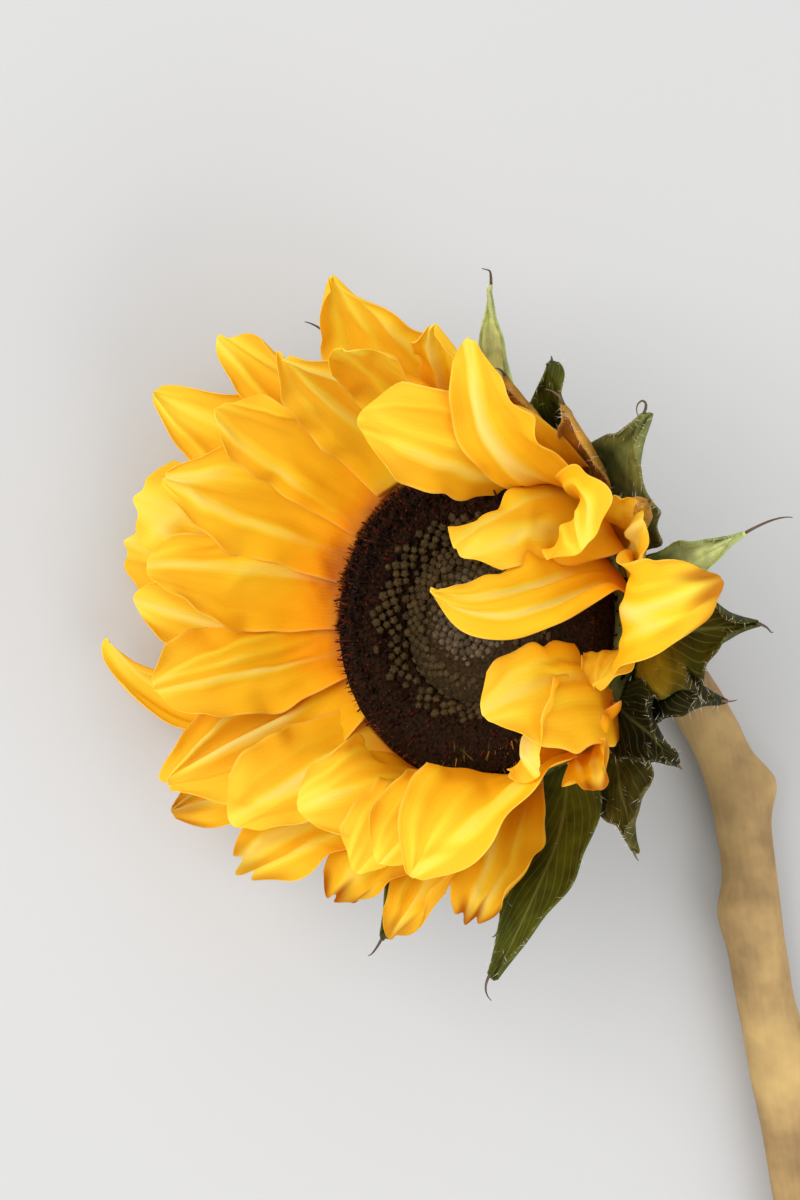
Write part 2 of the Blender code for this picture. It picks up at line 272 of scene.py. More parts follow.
petals = {
    "petal_01": (106, outer, (43, 22), (26, 40, 50, 50), (-6, -16), (8, 8), (40, 30, 60)),
    "petal_02": (90, outer, (38, 18), (38, 54, 60, 64), (-20, -40), (8, 8), (40, 40, 60)),
    "petal_03": (100, inner, (38, 17), (46, 60, 66, 84), (-6, -16), (6, 6), (40, 60, 90)),
    "petal_04": (58, inner, (42, 19), (82, 72, 58, 40), (44, 78, 100, 112), (0, 0), (40, 20, 60)),
    "petal_05": (47, inner, (44, 12), (88, 64, 40, 36), (0, 60, 36, 26), (0, 0), (40, 60, 60)),
    "petal_06": (117, inner, (37, 18), (40, 54, 62, 64), (-6, -16), (6, 6), (30, 40, 60)),
    "petal_07": (126, outer, (44, 15), (28, 38, 44, 42), (2, -4), (8, 8), (40, 110, 150)),
    "petal_08": (142, outer, (47, 20), (26, 34, 40, 38), (2, -6), (8, 8), (30, 30, 60)),
    "petal_09": (158, outer, (43, 20), (22, 32, 38, 36), (0, 0), (8, 8), (30, 30, 60)),
    "petal_10": (173, outer, (44, 18), (10, 26, 36, 34), (-10, -15), (8, 8), (30, 30, 60)),
    "petal_11": (134, inner, (36, 17), (36, 48, 54, 58), (0, -4), (6, 6), (30, 40, 60)),
    "petal_12": (150, inner, (38, 19), (34, 44, 50, 56), (2, 2), (6, 6), (30, 40, 60)),
    "petal_13": (167, inner, (37, 18), (36, 46, 52, 60), (0, 6), (6, 18), (30, 40, 60)),
    "petal_14": (187, outer, (41, 16), (30, 42, 46, 44), (-20, -32), (10, 10), (30, 30, 60)),
    "petal_15": (200, outer, (52, 12), (18, 32, 40, 44), (-6, -10, -50, -110), (8, 12), (40, 150, 280)),
    "petal_16": (184, inner, (37, 19), (38, 50, 55, 60), (14, 22), (6, 6), (30, 30, 70)),
    "petal_17": (199, inner, (39, 21), (34, 44, 48, 50), (18, 24), (6, 6), (30, 30, 60)),
    "petal_18": (215, outer, (41, 18), (22, 34, 42, 40), (-4, -8), (8, 8), (30, 30, 60)),
    "petal_19": (224, inner, (34, 20), (56, 64, 50, 30), (0, 0), (6, 6), (30, 50, 60)),
    "petal_20": (236, outer, (40, 18), (32, 50, 56, 54), (-5, -12), (8, 8), (30, 40, 60)),
    "petal_21": (250, inner, (33, 19), (96, 92, 50, 14), (-5, -20, -45, -55), (0, 0), (20, 30, 50)),
    "petal_22": (251, outer, (33, 18), (32, 46, 52, 50), (0, 0), (8, 8), (30, 40, 60)),
    "petal_23": (265, inner, (34, 17), (88, 84, 46, 16), (0, -30), (0, 0), (20, 60, 90)),
    "petal_24": (265, outer, (35, 14), (30, 42, 48, 46), (2, -6), (8, 14), (40, 90, 120)),
    "petal_25": (281, outer, (30, 15), (24, 34, 44, 45), (2, -22), (0, 0), (35, 40, 60)),
    "petal_26": (280, inner, (38, 18), (90, 88, 56, 30), (-10, -40), (0, 0), (20, 60, 90)),
    "petal_27": (300, inner, (45, 25), (90, 84, 50, 24), (-10, -24, -46, -56), (0, 0), (20, 60, 60)),
    "petal_28": (320, inner, (31, 18), (91, 92, 62, 22), (0, -12), (0, 24), (25, 75, 90)),
    "petal_29": (334, inner, (36, 20), (78, 90, 108, 118), (45, 65), (0, 0), (40, 20, 20)),
    "petal_30": (351, outer, (16, 11), (80, 70, 50, 30), (-10, -60, -90, -100), (0, 0), (20, 40, 40)),
    "petal_31": (322, outer, (25, 12), (53, 58, 52, 40), (0, -10), (0, 0), (60, 150, 200)),
    "petal_32": (14, inner, (45, 14), (84, 106, 118, 126), (24, 44, 8, -75), (0, 0), (20, 50, 60)),
    "petal_33": (39, inner, (35, 13), (101, 101, 110, 122), (4, 24), (-7, -7), (35, 85, 115)),
    "petal_34": (20, outer, (20, 10), (30, 60, 44, 12), (0, 4), (0, 0), (20, 65, 90)),
    "petal_35": (1, outer, (44, 21), (68, 60, 20, 4), (0, -5, 8, 16), (-6, 0), (20, 30, 30)),
    "petal_36": (31, outer, (32, 12), (62, 84, 52, 20), (12, 5, -70, -90), (0, 0), (20, 60, 60)),
}

# what sets some petals apart from the rest
petalQuirks = {
    "petal_01": {"tip": "point", "rim": 1.2, "pleats": 3},
    "petal_02": {"tip": "point", "ripe": 0.0, "pleatDepth": 1.0},
    "petal_03": {"rim": 1.6, "folds": 6},
    "petal_04": {"rim": 1.4},
    "petal_05": {"ruffle": 1.2, "spread": 1.15},
    "petal_06": {"tip": "point", "pleats": 5},
    "petal_07": {"rim": 1.0},
    "petal_08": {"tip": "point", "pleats": 5, "pleatDepth": 0.7},
    "petal_09": {"tip": "blunt", "pleatDepth": 0.6},
    "petal_10": {"tip": "blunt", "folds": 8, "foldDepth": 0.9},
    "petal_12": {"tip": "point", "folds": 7},
    "petal_13": {"folds": 7},
    "petal_15": {"ruffle": 0.3, "folds": 1},
    "petal_16": {"pleats": 6, "pleatDepth": 1.2, "pleatWidth": 0.09},
    "petal_17": {"tip": "point", "pleats": 6, "pleatDepth": 1.8, "pleatWidth": 0.08, "folds": 1},
    "petal_18": {"tip": "point", "wither": 0.6, "pleatDepth": 1.2},
    "petal_19": {"folds": 6},
    "petal_20": {"tip": "notched", "wither": 0.45, "folds": 6},
    "petal_21": {"rim": 1.6},
    "petal_22": {"tip": "notched", "wither": 1.0, "ripe": 0.0, "folds": 8},
    "petal_23": {"folds": 6},
    "petal_24": {"wither": 0.65},
    "petal_25": {"tip": "notched", "wither": 1.0, "ripe": 0.0, "folds": 5, "lift": 0.7, "billow": 0.4},
    "petal_26": {"rim": 1.4, "pleatDepth": 1.3},
    "petal_27": {"tip": "point", "pleats": 4, "pleatDepth": 1.5, "pleatWidth": 0.13},
    "petal_28": {"folds": 7},
    "petal_29": {"billow": 0.5, "folds": 2},
    "petal_30": {"tip": "point"},
    "petal_31": {"tip": "blunt", "wither": 0.9, "ripe": -2.2, "ruffle": 1.6, "folds": 9},
    "petal_32": {"tip": "point", "ruffle": 1.2, "folds": 5, "pleatDepth": 1.3, "spread": 0.9},
    "petal_33": {"tipRound": 1.6, "ruffle": 1.0, "folds": 6, "spread": 1.2},
    "petal_34": {"ruffle": 1.0, "billow": 1.2, "folds": 5, "spread": 1.5},
    "petal_35": {"ruffle": 1.2, "pleatDepth": 0.9, "folds": 4, "rim": 1.6, "wither": 0.8,
                 "widest": 0.34, "shoulder": 1.2, "tipRound": 1.0},
    "petal_36": {"ruffle": 1.0, "folds": 5, "spread": 1.4},
}


def petalOutline(shape, rng):
    tipWidth = petalTips[shape["tip"]][0]
    skew = rng.uniform(-1, 1) * shape["skew"]
    phases = rng.uniform(0, 1, 4)

    def width(t, v):
        rising = np.sin(math.pi / 2 * np.clip(t / shape["widest"], 0, 1))
        falling = np.clip((t - shape["widest"]) / (1 - shape["widest"]), 0, 1)
        body = shape["rootWidth"] + (1 - shape["rootWidth"]) * rising
        tip = np.maximum(1 - falling ** shape["shoulder"], 0) ** (1 / shape["tipRound"])
        side = np.sign(v)
        wave = np.where(side > 0, np.sin(math.tau * (2.3 * t + phases[0])),
                        np.sin(math.tau * (2.7 * t + phases[1])))
        wave = wave + 0.5 * np.sin(math.tau * (5.2 * t + np.where(side > 0, phases[2], phases[3])))
        sway = 1 + skew * side * np.sin(math.pi * t) + shape["edgeWave"] * wave * smoothStep(0.1, 0.5, t)
        return np.maximum(body * (tipWidth + (1 - tipWidth) * tip) * sway, 0.02)
    return width


def tipLine(shape, rng, t, v):
    # draws the corners of the tip back, and cuts its teeth
    _, fall, teeth = petalTips[shape["tip"]]
    nicks = teeth * (1 - np.cos(math.tau * (1.4 * v + rng.uniform(0, 1))))
    return t * (1 - fall * np.abs(v) ** 2.3 * smoothStep(0.55, 1, t) - nicks * smoothStep(0.82, 1, t))


def petalRelief(shape, rng, t, v):
    # how far each point stands off the plain sheet, and the part of it that is crease and pleat
    grow = smoothStep(0.02, 0.3, t)
    detail = 0 * t
    for place in np.linspace(-0.7, 0.7, shape["pleats"]):
        line = (place + rng.uniform(-0.1, 0.1)) * (1 - 0.35 * t)
        line = line + rng.uniform(-0.2, 0.2) * np.sin(math.pi * t)
        crest = 1 / np.cosh((v - line) / shape["pleatWidth"])
        detail = detail + shape["pleatDepth"] * rng.uniform(0.4, 1.3) * (crest - 0.3)
    detail = detail * grow * (1 - 0.35 * smoothStep(0.8, 1, t))
    for _ in range(shape["folds"]):
        middleT, middleV = rng.uniform(0.45, 1.0), rng.uniform(-0.8, 0.8)
        slant, reach = math.pi / 2 + rng.normal(0, 0.45), rng.uniform(0.2, 0.5)      # mostly lengthwise
        offLine = (t - middleT) * 1.9 * math.cos(slant) + (v - middleV) * 0.45 * math.sin(slant)
        onLine = -(t - middleT) * 1.9 * math.sin(slant) + (v - middleV) * 0.45 * math.cos(slant)
        crease = np.exp(-(onLine / reach) ** 2) / np.cosh(offLine / shape["foldWidth"])
        detail = detail + rng.choice((-1, 1)) * shape["foldDepth"] * rng.uniform(0.4, 1) * crease
    edge = np.abs(v) ** 3 * smoothStep(0.12, 0.5, t)
    phases = rng.uniform(0, 1, 8)
    turn = np.where(v > 0, phases[0], phases[1])
    waves = np.sin(math.tau * (1.7 * t + turn)) + 0.6 * np.sin(math.tau * (3.9 * t + 2 * turn))
    broad = np.sin(math.tau * (0.9 * t + phases[2])) * np.sin(math.pi * (0.9 * v + phases[3]))
    broad += 0.5 * np.sin(math.tau * (0.8 * t + phases[4])) * np.cos(math.pi * (2.1 * v + phases[5]))
    broad += 0.3 * np.sin(math.tau * (1.3 * t + phases[6])) * np.sin(math.pi * (3.4 * v + phases[7]))
    rim = shape["rim"] * np.abs(v) ** 8 * smoothStep(0.25, 0.7, t)
    body = (shape["billow"] * broad + shape["lift"]) * smoothStep(0, 0.4, t)
    total = detail + shape["ruffle"] * edge * waves + body + rim
    return total, detail


def makeBlade(name, row, shape, outlineOf, seed):
    blade = dict(zip(bladeFields, row))
    blade["length"], blade["width"] = blade.pop("size")
    blade["width"] *= shape["spread"]
    rng = np.random.default_rng(seed)
    blade["clear"], blade["outline"] = shape["clear"], outlineOf(shape, rng)
    line = midribPoints(blade, ladder)
    blade["midrib"] = lambda t: np.stack([np.interp(t, ladder, line[:, i]) for i in range(3)], -1)
    sheet, flat = bladeGrid(name, shape["columns"], shape["rows"])
    v = flat[:, 0]
    t = tipLine(shape, rng, 1 - (1 - (flat[:, 1] + 1) / 2) ** 1.25, v)     # closer rows near the tip
    relief, detail = petalRelief(shape, rng, t, v)
    setPoints(sheet.data, fromHead(bladePoints(blade, t, v, relief)))
    return sheet, t, v, detail, blade


def makePetals(material):
    for number, (node, row) in enumerate(petals.items(), 1):
        shape = {**petalShape, **petalQuirks.get(node, {})}
        piece, t, v, detail, _ = makeBlade(node.replace("_", ""), row, shape, petalOutline, number)
        tipShare = smoothStep(0.8, 0.98, t + 0.05 * np.sin(9 * v + number)) * shape["wither"]
        tone = np.random.default_rng(100 + number).uniform(-0.5, 0.5) + shape["ripe"] + 0 * t
        # the crest channel follows the relief: the petal material paints highlight where it stands up and
        # shade in its creases
        crest = np.clip(0.5 + 0.6 * detail, 0, 1)
        paintPoints(piece.data, "petalTone", np.stack((tipShare, tone, crest, 0 * t + 1), 1))
        applyModifier(piece, "SOLIDIFY", thickness=shape["thickness"] * mm, offset=0)
        dress(piece, material, "petals", node)


def bladeCoordinates(tree):
    # across the blade, from root to tip, and how far from the midrib
    uv = addNode(tree, "UVMap", uv_map="UVMap").outputs["UV"]
    split = addNode(tree, "SeparateXYZ", {"Vector": uv}).outputs
    fromMiddle = addNode(tree, "Math", {0: split["X"], 1: 0.5}, operation="SUBTRACT").outputs[0]
    offMiddle = addNode(tree, "Math", {0: fromMiddle}, operation="ABSOLUTE").outputs[0]
    return split["X"], split["Y"], offMiddle


def letLightThrough(tree, shader, share, tint, bump):
    glow = addNode(tree, "BsdfTranslucent", {"Color": tint, "Normal": bump}).outputs["BSDF"]
    mixed = addNode(tree, "MixShader", {"Fac": share, 1: shader.outputs["BSDF"], 2: glow})
    tree.links.new(mixed.outputs["Shader"], tree.nodes["Material Output"].inputs["Surface"])


petalFinish = {
    # root to tip: the deep orange root is partly the petal's own colour and partly painted shade where the
    # petals meet the disc, and the pale tip is partly painted highlight
    "shadedRootToLitTip": ((0.0, "#d46604"), (0.1, "#ffa40a"), (0.24, "#ffd01e"), (0.48, "#ffe634"), (1.0, "#fff054")),
    # the crest colour is a painted highlight on the fold crests and edges, and the crease colour a painted
    # shade in the creases
    "withered": "#b4560f", "veinColour": "#ffca1c", "paintedHighlightColour": "#fff396", "paintedCreaseShadeColour": "#ffbc14",
    "glowColour": "#ffe04c", "veinsAcross": 24, "veinHeight": 0.02, "blotch": 7.0,
    "glow": 0.45, "skin": {"Roughness": 0.7, "Specular IOR Level": 0.1},
}


def petalMaterial():
    # Fresh ray petal: a thin soft sheet that glows where light comes through it, with fine
    # lengthwise veins, orange at the root, partly as painted shade. Painted highlight lies on
    # its tip, fold crests and edges, and painted shade in its creases.
    material, tree, shader = newMaterial("freshRayPetal")
    across, lengthwise, offMiddle = bladeCoordinates(tree)
    where = addNode(tree, "TexCoord").outputs["Object"]
    blotches = addNode(tree, "TexNoise", {
        "Vector": where, "Scale": 1 / (petalFinish["blotch"] * mm), "Detail": 3.0}).outputs["Fac"]
    marks = addNode(tree, "Attribute", attribute_name="petalTone").outputs["Color"]
    parts = addNode(tree, "SeparateColor", {"Color": marks}).outputs
    blotchShift = addNode(tree, "Math", {
        0: blotches, 1: 0.35, 2: -0.175}, operation="MULTIPLY_ADD").outputs[0]
    toneShift = addNode(tree, "Math", {
        0: parts["Green"], 1: 0.16, 2: blotchShift}, operation="MULTIPLY_ADD").outputs[0]
    place = addNode(tree, "Math", {
        0: lengthwise, 1: toneShift}, operation="ADD", use_clamp=True).outputs[0]
    colour = fillRamp(addNode(tree, "ValToRGB", {"Fac": place}), petalFinish["shadedRootToLitTip"])
    turns = addNode(tree, "Math", {0: blotches, 1: 2.5}, operation="MULTIPLY").outputs[0]
    wave = addNode(tree, "Math", {
        0: across, 1: math.tau * petalFinish["veinsAcross"], 2: turns}, operation="MULTIPLY_ADD").outputs[0]
    veins = addNode(tree, "Math", {0: wave}, operation="SINE").outputs[0]
    layers = (
        (veins, (0.2, 1.0), 0.14, "veinColour"),
        # painted highlight on the fold crests
        (parts["Blue"], (0.45, 0.95), 0.8, "paintedHighlightColour"),
        # painted shade in the fold creases
        (parts["Blue"], (0.5, 0.2), 0.5, "paintedCreaseShadeColour"),
        # painted highlight along the petal's edges
        (offMiddle, (0.47, 0.5), 0.25, "paintedHighlightColour"),
        (parts["Red"], (0.0, 1.0), 1.0, "withered"),
    )
    for source, (low, high), most, tint in layers:
        share = addNode(tree, "MapRange", {
            "Value": source, "From Min": low, "From Max": high, "To Max": most}).outputs["Result"]
        colour = addNode(tree, "Mix", {
            0: share, 6: colour, 7: petalFinish[tint]}, data_type="RGBA").outputs[2]
    glowTint = addNode(tree, "Mix", {
        0: 0.5, 6: colour, 7: petalFinish["glowColour"]}, data_type="RGBA").outputs[2]
    bump = addNode(tree, "Bump", {
        "Height": veins, "Strength": 0.35, "Distance": petalFinish["veinHeight"] * mm}).outputs["Normal"]
    setInputs(tree, shader, {"Base Color": colour, "Normal": bump, **petalFinish["skin"]})
    letLightThrough(tree, shader, petalFinish["glow"], glowTint, bump)
    return material


makePetals(petalMaterial())
print("petals made")


bractShape = {
    "columns": 18, "rows": 46, "thickness": 0.4, "clear": -0.2, "tip": "point",
    "pleats": 3, "pleatDepth": -0.35, "pleatWidth": 0.12, "ruffle": 0.9, "billow": 1.0,
    "folds": 4, "foldDepth": 0.8, "foldWidth": 0.045, "rim": 0.5, "lift": 0.0, "spread": 1.0,
    "tailSides": 5, "tailSteps": 16, "tailRadius": 0.3,
}

bracts = {
    "bract_01": (86, upper, (36, 10), (6, 33, 37, 40), (-11, -24), (0, 0), (35, 60, 60)),
    "bract_02": (69, upper, (26, 11), (28, 54, 62, 60), (-4, 0), (0, 0), (30, 60, 60)),
    "bract_03": (61, lower, (28, 17), (8, 50, 44, 30), (6, 8), (0, 0), (30, 50, 50)),
    "bract_04": (47, upper, (29, 12), (24, 56, 62, 60), (6, 12), (0, 0), (30, 60, 60)),
    "bract_05": (35, lower, (31, 21), (13, 49, 40, 20), (10, 12), (5, 5), (40, 40, 50)),
    "bract_06": (25, upper, (24, 12), (24, 48, 52, 50), (-4, -4), (0, 0), (30, 60, 60)),
    "bract_07": (9, lower, (28, 12), (10, 20, 16, 12), (8, 12), (0, 0), (30, 50, 60)),
    "bract_08": (354, upper, (31, 22), (20, 24, 20, 16), (6, 8), (0, 0), (20, 20, 40)),
    "bract_09": (339, lower, (28, 17), (-1, 33, 31, 28), (8, 10), (0, -10), (40, 80, 80)),
    "bract_10": (328, upper, (24, 14), (16, 30, 36, 26), (0, 6), (0, 0), (30, 60, 60)),
    "bract_11": (315, lower, (27, 14), (-4, 29, 31, 29), (-14, -16), (0, 0), (30, 50, 60)),
    "bract_12": (300, upper, (43, 16), (10, 36, 39, 40), (-26, -42), (0, 0), (30, 60, 60)),
    "bract_13": (280, lower, (30, 20), (10, 30, 38, 36), (-4, -6), (0, 0), (30, 40, 40)),
    "bract_14": (255, upper, (33, 20), (10, 28, 36, 34), (0, 0), (0, 0), (30, 40, 40)),
    "bract_15": (230, lower, (31, 21), (8, 24, 32, 30), (0, 0), (0, 0), (30, 40, 40)),
    "bract_16": (205, upper, (29, 21), (6, 18, 24, 22), (0, 0), (0, 0), (30, 40, 40)),
    "bract_17": (181, lower, (30, 21), (6, 20, 30, 32), (0, 0), (0, 0), (30, 40, 40)),
    "bract_18": (156, upper, (29, 21), (6, 18, 24, 24), (0, 0), (0, 0), (30, 40, 40)),
    "bract_19": (131, lower, (31, 20), (6, 20, 28, 26), (0, 0), (0, 0), (30, 40, 40)),
    "bract_20": (108, upper, (33, 18), (10, 28, 34, 34), (12, 16), (0, 0), (30, 40, 40)),
}

# colours of a bract's root, blade and edge, and the length and curls of its dry tail
bractTints = {
    "paleGreen": ("#7d8f3a", "#c9d595", "#8ea24a"),
    "green": ("#5c6414", "#434a05", "#5c611c"),
    "olive": ("#5f5a18", "#4d4a10", "#6b6430"),
    "ochre": ("#8a5a14", "#bc8628", "#d6a64c"),
    "greyGreen": ("#77703a", "#7e8444", "#6c612e"),
    "dark": ("#33340c", "#1f2008", "#3a3a1a"),
    "ripe": ("#c0a01c", "#3a3f06", "#4c4a12"),
}
bractTail = "#6e564a"
bractLooks = {
    "bract_01": ("paleGreen", 7, (60, -100)), "bract_02": ("ochre", 4, (40, -20)),
    "bract_03": ("green", 1, (20, 0)), "bract_04": ("ochre", 7, (30, 60)),
    "bract_05": ("greyGreen", 8, (200, 60)), "bract_06": ("ochre", 2, (30, 30)),
    "bract_07": ("paleGreen", 13, (30, -30)), "bract_08": ("ripe", 4, (-120, -140)),
    "bract_09": ("dark", 3, (-60, 30)), "bract_10": ("dark", 2, (30, 0)),
    "bract_11": ("olive", 2, (-60, 0)), "bract_12": ("green", 5, (-50, 60)),
}
plainBract = ("green", 5, (50, 30))
bractQuirks = {
    "bract_01": {"ruffle": 0.4, "billow": 0.4},
    "bract_02": {"ruffle": 0.2, "billow": 0.3, "folds": 1},
    "bract_04": {"ruffle": 0.2, "billow": 0.3, "folds": 1},
    "bract_07": {"ruffle": 0.4, "billow": 0.4, "spread": 0.8},
    "bract_12": {"billow": 0.3, "ruffle": 0.4, "folds": 1, "lift": -1.6},
    "bract_13": {"billow": 0.1, "ruffle": 0.1, "folds": 0, "lift": -2.2, "spread": 0.8},
}


def bractOutline(shape, rng):
    widths = np.array((0.75, 0.98, 1.0, 0.86, 0.58, 0.26, 0.05))
    phases = rng.uniform(0, 1, 2)

    def width(t, v):
        wave = np.sin(math.tau * (3.1 * t + np.where(v > 0, phases[0], phases[1])))
        return np.maximum(along(widths, t), 0.04) * (1 + 0.06 * wave)
    return width


def addTail(blade, name, length, curls):
    # the dry thread that a bract ends in: a thin tube along a curling line
    turn = math.radians(blade["angle"])
    start = bladePoints(blade, np.array([1.0]), np.array([0.0]), np.zeros(1))[0]
    lean, sway = math.radians(blade["lean"][-1]), math.radians(blade["sway"][-1]) + turn
    steps, sides = bractShape["tailSteps"], bractShape["tailSides"]
    share = np.linspace(0, 1, steps + 1)
    leans = lean + math.radians(curls[0]) * share ** 1.5
    sways = sway + math.radians(curls[1]) * share ** 1.5
    runs = np.stack((np.cos(leans) * np.cos(sways), np.cos(leans) * np.sin(sways), np.sin(leans)), 1)
    line = start + np.vstack(((0, 0, 0), np.cumsum(runs[1:], 0))) * length / steps
    return threadTube(name, line, bractShape["tailRadius"] * (1 - 0.75 * share), sides)


def threadTube(name, line, radii, sides):
    # a closed tube along a line in head coordinates
    bpy.ops.mesh.primitive_cylinder_add(vertices=sides, radius=1, depth=1, end_fill_type="NGON")
    tube = bpy.context.active_object
    tube.name = tube.data.name = name
    run = unit(np.gradient(line, axis=0))
    side = unit(np.cross(run, (0.31, 0.47, 0.83)))
    up = np.cross(run, side)
    angles = np.linspace(0, math.tau, sides, endpoint=False)
    spokes = side[:, None] * np.cos(angles)[:, None] + up[:, None] * np.sin(angles)[:, None]
    points = line[:, None] + spokes * radii[:, None, None]
    rings = len(line)
    faces = [tuple(range(sides))[::-1], tuple(range((rings - 1) * sides, rings * sides))]
    for ring in range(rings - 1):
        for corner in range(sides):
            beside = (corner + 1) % sides
            faces.append((ring * sides + corner, ring * sides + beside,
                          (ring + 1) * sides + beside, (ring + 1) * sides + corner))
    mesh = bpy.data.meshes.new(name)
    mesh.from_pydata(fromHead(points.reshape(-1, 3)).tolist(), [], faces)
    mesh.uv_layers.new(name="UVMap")
    tube.data = mesh
    return tube


bractHair = {
    "share": 0.1, "length": (0.8, 2.2), "radius": 0.045, "sunk": 0.1, "lean": 0.7, "lowest": 3.5,
    "colour": "#e9e6d6", "roughness": 0.6,
}
hairRoots = []


def pickHairRoots(mesh, t, v, seed):
    # points and directions for the hairs of one bract: most at its edges and near its foot
    rng = np.random.default_rng(600 + seed)
    points = meshPoints(mesh)
    normals = np.array([vertex.normal for vertex in mesh.vertices])
    edges = (np.abs(v) > 0.9) & (t > 0.15)
    chance = np.where(edges, 6 * bractHair["share"], bractHair["share"] * (1 - t))
    chosen = (rng.uniform(0, 1, len(points)) < chance) & (points[:, 2] > bractHair["lowest"] * mm)
    side = rng.choice((-1.0, 1.0), (len(points), 1))
    away = unit(normals * side + bractHair["lean"] * rng.normal(0, 1, points.shape))
    return points[chosen], away[chosen]


def makeHairs(material):
    # each hair is a three-sided point, sunk a little into the bract
    rng = np.random.default_rng(5)
    roots, away = (np.concatenate(part) for part in zip(*hairRoots))
    length = rng.uniform(*bractHair["length"], (len(roots), 1)) * mm
    across = unit(np.cross(away, rng.normal(0, 1, away.shape)))
    corners = [roots + away * length]
    for turn in (0, 120, 240):
        spoke = across * math.cos(math.radians(turn)) + np.cross(away, across) * math.sin(math.radians(turn))
        corners.append(roots - away * bractHair["sunk"] * mm + spoke * bractHair["radius"] * mm)
    points = np.stack(corners, 1).reshape(-1, 3)
    faces = []
    for tip in range(0, len(points), 4):
        a, b, c = tip + 1, tip + 2, tip + 3
        faces += [(tip, a, b), (tip, b, c), (tip, c, a), (a, c, b)]
    dress(meshPiece("bractHairs", points, faces), material, "bracts")
    print(len(roots), "hairs")


def hairMaterial():
    # Bract hair: fine, dry and nearly white.
    material, tree, shader = newMaterial("paleBractHair")
    setInputs(tree, shader, {
        "Base Color": bractHair["colour"], "Roughness": bractHair["roughness"]})
    return material


def makeBracts(material):
    for number, (node, row) in enumerate(bracts.items(), 1):
        tint, tailLength, curls = bractLooks.get(node, plainBract)
        shape = {**bractShape, **bractQuirks.get(node, {})}
        piece, t, v, detail, blade = makeBlade(node.replace("_", ""), row, shape, bractOutline, 40 + number)
        root, middle, edge = (np.array(linearColour(colour)) for colour in bractTints[tint])
        toBlade = smoothStep(0.1, 0.5, t)[:, None]
        toEdge = (np.abs(v) ** 5)[:, None] * 0.7
        colours = root * (1 - toBlade) + middle * toBlade
        colours = colours * (1 - toEdge) + edge * toEdge
        # lighter where the relief stands up and darker in its creases: painted highlight and painted shade on
        # the folds
        colours = np.clip(colours * (1 + 0.25 * detail[:, None]), 0, 1)
        paintPoints(piece.data, "bractTint", colours)
        hairRoots.append(pickHairRoots(piece.data, t, v, number))
        applyModifier(piece, "SOLIDIFY", thickness=bractShape["thickness"] * mm, offset=0)
        tail = addTail(blade, node + "Tail", tailLength, curls)
        paintPoints(tail.data, "bractTint", np.tile(linearColour(bractTail), (len(tail.data.vertices), 1)))
        pick(piece)
        tail.select_set(True)
        bpy.ops.object.join()
        dress(piece, material, "bracts", node)


bractFinish = {
    "blotch": 4.0, "veins": 9, "lighter": "#b9bd70", "cell": 0.35, "veinHeight": 0.12,
    "glow": 0.2, "skin": {"Roughness": 0.6, "Specular IOR Level": 0.25},
}


def bractMaterial():
    # Leafy bract: a thicker leaf skin, matt, with a pale midrib and side veins and a fine pebble.
    material, tree, shader = newMaterial("leafyBract")
    tint = addNode(tree, "Attribute", attribute_name="bractTint").outputs["Color"]
    _, lengthwise, offMiddle = bladeCoordinates(tree)
    where = addNode(tree, "TexCoord").outputs["Object"]
    blotches = addNode(tree, "TexNoise", {
        "Vector": where, "Scale": 1 / (bractFinish["blotch"] * mm), "Detail": 5.0}).outputs["Fac"]
    midrib = addNode(tree, "MapRange", {
        "Value": offMiddle, "From Max": 0.035, "To Min": 1.0, "To Max": 0.0}).outputs["Result"]
    lift = addNode(tree, "Math", {
        0: offMiddle, 1: -1.1, 2: lengthwise}, operation="MULTIPLY_ADD").outputs[0]
    sideTurns = addNode(tree, "Math", {
        0: lift, 1: math.tau * bractFinish["veins"]}, operation="MULTIPLY").outputs[0]
    sideWave = addNode(tree, "Math", {0: sideTurns}, operation="SINE").outputs[0]
    sideVeins = addNode(tree, "MapRange", {
        "Value": sideWave, "From Min": 0.82, "To Max": 0.55}).outputs["Result"]
    veins = addNode(tree, "Math", {0: midrib, 1: sideVeins}, operation="MAXIMUM").outputs[0]
    veinShare = addNode(tree, "Math", {0: veins, 1: 0.3}, operation="MULTIPLY").outputs[0]
    shade = addNode(tree, "MapRange", {
        "Value": blotches, "From Min": 0.3, "From Max": 0.7,
        "To Min": 0.55, "To Max": 1.35}).outputs["Result"]
    shaded = addNode(tree, "Mix", {
        0: 1.0, 6: tint, 7: shade}, data_type="RGBA", blend_type="MULTIPLY").outputs[2]
    colour = addNode(tree, "Mix", {
        0: veinShare, 6: shaded, 7: bractFinish["lighter"]}, data_type="RGBA").outputs[2]
    cells = addNode(tree, "TexVoronoi", {
        "Vector": where, "Scale": 1 / (bractFinish["cell"] * mm)}).outputs["Distance"]
    height = addNode(tree, "Math", {0: cells, 1: veins}, operation="SUBTRACT").outputs[0]
    bump = addNode(tree, "Bump", {
        "Height": height, "Strength": 0.5, "Distance": bractFinish["veinHeight"] * mm}).outputs["Normal"]
    setInputs(tree, shader, {"Base Color": colour, "Normal": bump, **bractFinish["skin"]})
    letLightThrough(tree, shader, bractFinish["glow"], colour, bump)
    return material


makeBracts(bractMaterial())
makeHairs(hairMaterial())
print("bracts made")


